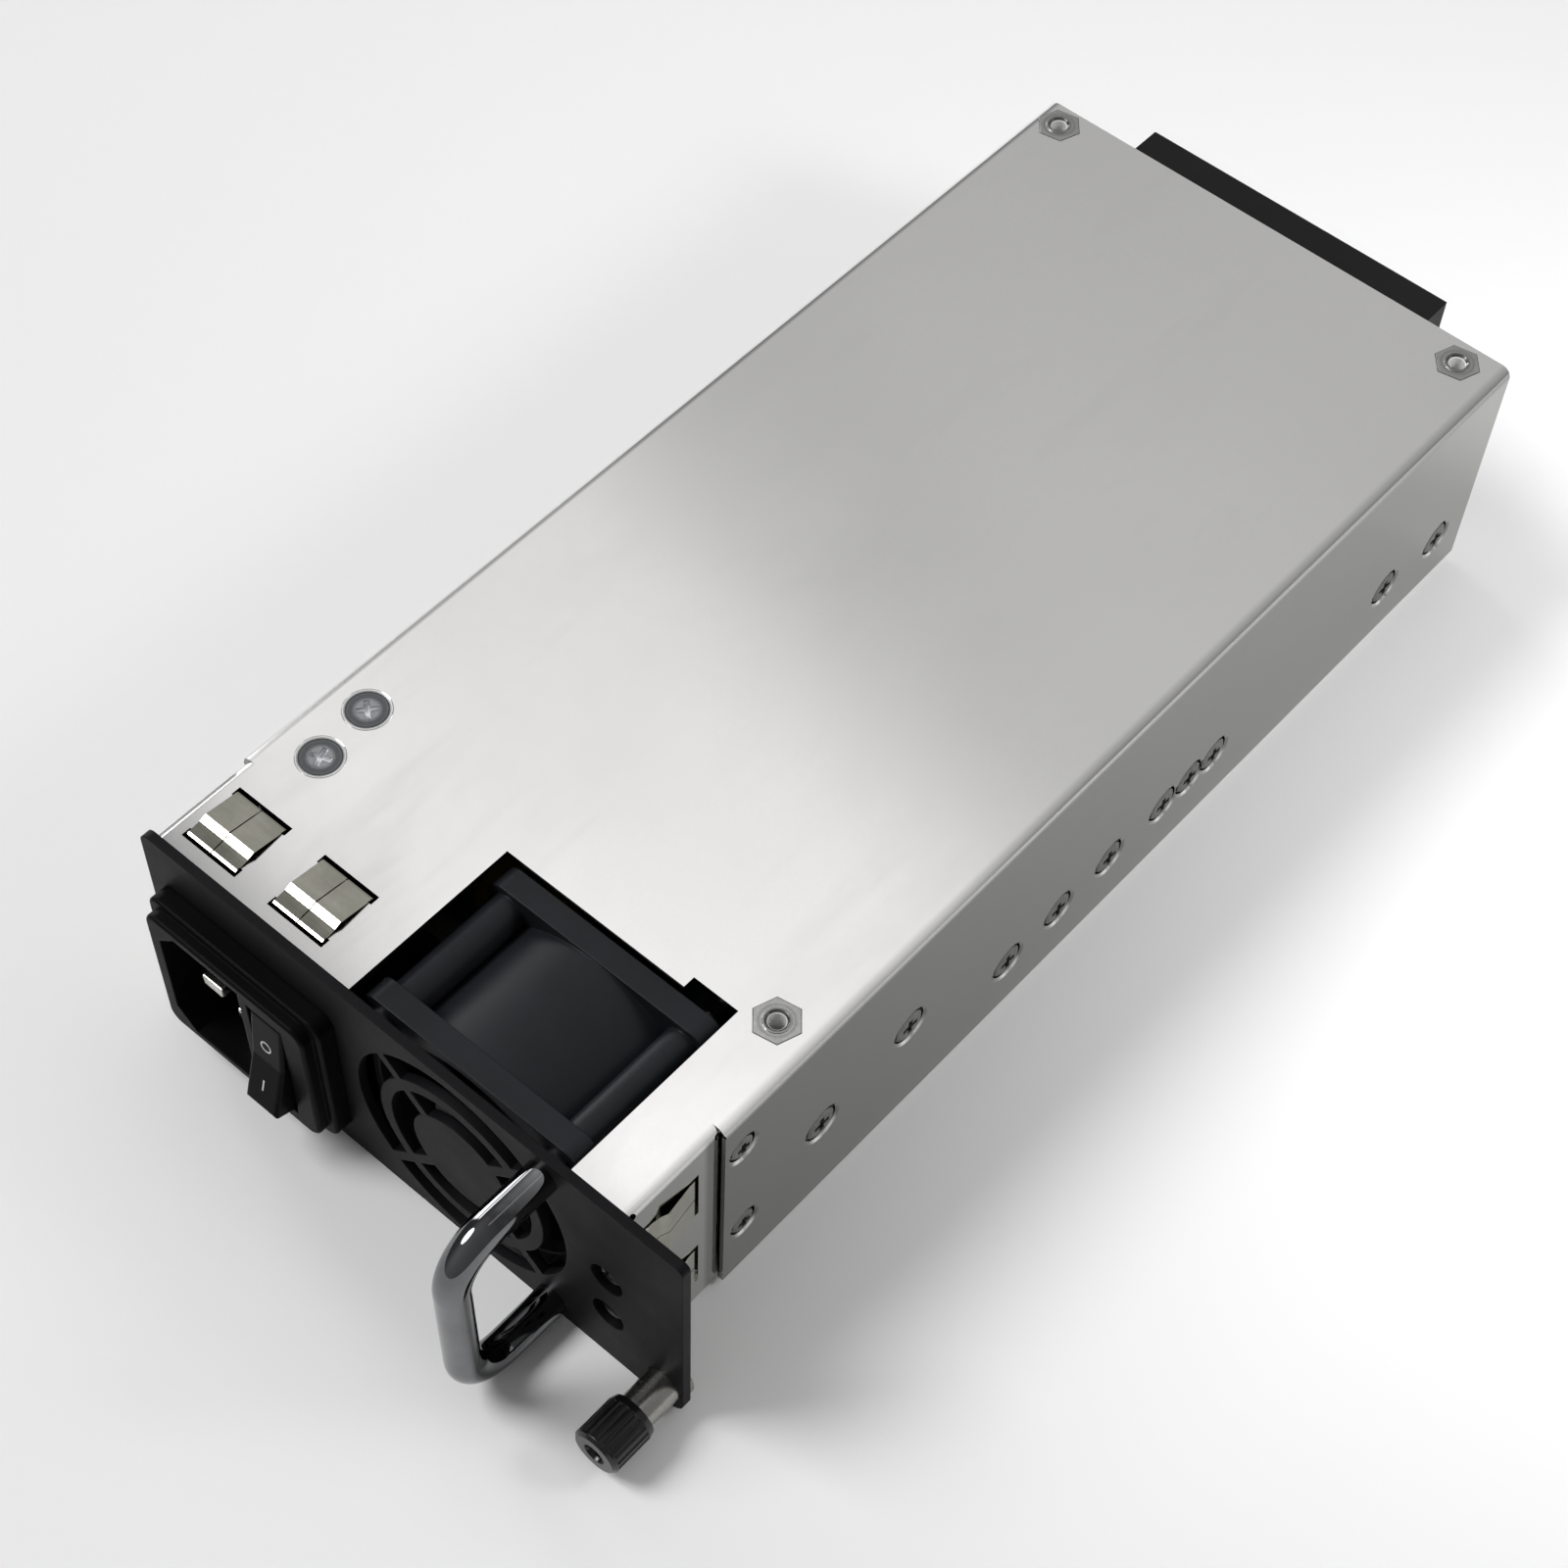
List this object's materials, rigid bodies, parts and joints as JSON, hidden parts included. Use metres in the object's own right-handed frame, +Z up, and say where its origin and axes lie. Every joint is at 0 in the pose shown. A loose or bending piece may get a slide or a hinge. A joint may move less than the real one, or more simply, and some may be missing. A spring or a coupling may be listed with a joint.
{
  "type": "server power supply",
  "caption": "Slim rack power supply in a folded steel casing; black front plate with mains inlet, switch, fan guard, pull handle and thumbscrew; plug-in connector at the rear.",
  "frame": {"origin": "centre of the underside of the casing", "axes": "+Y from the front plate to the rear connector, +Z up, +X to the right seen from the front"},
  "size_m": [0.1012, 0.2277, 0.044],
  "materials": {
    "casing_steel": "satin, fine grained",
    "chassis_steel": "satin",
    "rear_steel": "satin",
    "plate_paint": "fine textured matte black",
    "module_plastic": "matte",
    "rocker_plastic": "semi gloss",
    "contact_plating": "plated",
    "fan_plastic": "matte",
    "rotor_plastic": "satin",
    "stator_copper": "wound wire",
    "handle_plating": "black plated, polished",
    "screw_zinc": "bright zinc",
    "pin_zinc": "bright zinc",
    "sleeve_steel": "polished",
    "knob_black": "black, knurled",
    "spring_wire": "drawn wire",
    "lens_clear": "clear smoky",
    "finger_steel": "bright spring strip",
    "nut_steel": "bright plated",
    "top_screw_steel": "plated",
    "side_screw_steel": "plated",
    "connector_plastic": "matte",
    "rear_contact_gold": "plated",
    "board_green": "solder resist",
    "rear_board_green": "solder resist",
    "small_board_green": "solder resist",
    "spacer_brass": "turned",
    "board_screw_zinc": "zinc",
    "insulator_film": "satin film",
    "fuse_glass": "clear with metal caps",
    "line_choke_winding": "enamelled wire",
    "boost_choke_winding": "enamelled wire",
    "output_choke_winding": "enamelled wire",
    "film_cap_yellow": "moulded box",
    "rectifier_black": "moulded",
    "bulk_can": "shrink sleeve",
    "sink_primary": "extruded",
    "sink_secondary": "extruded",
    "transistor_black": "moulded",
    "output_rectifier_black": "moulded",
    "core_ferrite": "ferrite",
    "winding_tape": "taped winding",
    "output_can": "shrink sleeve",
    "control_green": "solder resist",
    "header_plastic": "natural nylon",
    "bracket_steel": "satin",
    "inlet_lead": "sleeved lead",
    "fan_lead_sleeve": "sleeved lead"
  },
  "bodies": {
    "unit": {"cover": "casing_steel", "chassis": "chassis_steel", "rear_panel": "rear_steel", "front_plate": "plate_paint", "inlet_housing": "module_plastic", "inlet_pins": "contact_plating", "fan_frame": "fan_plastic", "fan_stator": "stator_copper", "fan_spider": "fan_plastic", "fan_bracket": "bracket_steel", "fan_pins": "pin_zinc", "handle": "handle_plating", "handle_screws": "screw_zinc", "thumbscrew_sleeve": "sleeve_steel", "led_lenses": "lens_clear", "indicator_board": "small_board_green", "spring_fingers_top": "finger_steel", "spring_fingers_left": "finger_steel", "spring_fingers_right": "finger_steel", "cover_nuts": "nut_steel", "cover_screws": "top_screw_steel", "side_screws": "side_screw_steel", "rear_connector_housing": "connector_plastic", "rear_contacts": "rear_contact_gold", "output_board": "rear_board_green", "main_board": "board_green", "board_spacers": "spacer_brass", "board_screws": "board_screw_zinc", "insulator_sheet": "insulator_film", "fuse_link": "fuse_glass", "line_choke": "line_choke_winding", "film_capacitors": "film_cap_yellow", "bridge_rectifier": "rectifier_black", "bulk_capacitors": "bulk_can", "boost_choke": "boost_choke_winding", "heatsink_primary": "sink_primary", "power_transistors": "transistor_black", "transformer_core": "core_ferrite", "transformer_winding": "winding_tape", "heatsink_secondary": "sink_secondary", "output_rectifiers": "output_rectifier_black", "output_choke": "output_choke_winding", "output_capacitors": "output_can", "control_board": "control_green", "fan_header": "header_plastic", "inlet_wires": "inlet_lead", "fan_lead": "fan_lead_sleeve"},
    "rocker": {"rocker": "rocker_plastic"},
    "fan_rotor": {"fan_rotor": "rotor_plastic"},
    "thumb_slider": {"thumbscrew_washer": "screw_zinc", "thumbscrew_spring": "spring_wire"},
    "thumb_screw": {"thumbscrew_knob": "knob_black", "thumbscrew_screw": "sleeve_steel"}
  },
  "joints": [
    {"name": "rocker_tilt", "type": "hinge", "parent": "unit", "child": "rocker", "pos_m": [-0.0183, -0.103, 0.0193], "axis": [1, 0, 0], "range_deg": [0, 24]},
    {"name": "fan_spin", "type": "hinge", "parent": "unit", "child": "fan_rotor", "pos_m": [0.01385, -0.086, 0.02165], "axis": [0, 1, 0], "continuous": true},
    {"name": "thumbscrew_press", "type": "slide", "parent": "unit", "child": "thumb_slider", "axis": [0, 1, 0], "range_m": [0, 0.004], "stiffness_N_per_m": 300, "springref_m": -0.002, "deforming": ["thumbscrew_spring"]},
    {"name": "thumbscrew_turn", "type": "hinge", "parent": "thumb_slider", "child": "thumb_screw", "pos_m": [0.05115, -0.11, 0.0054], "axis": [0, 1, 0], "continuous": true}
  ]
}
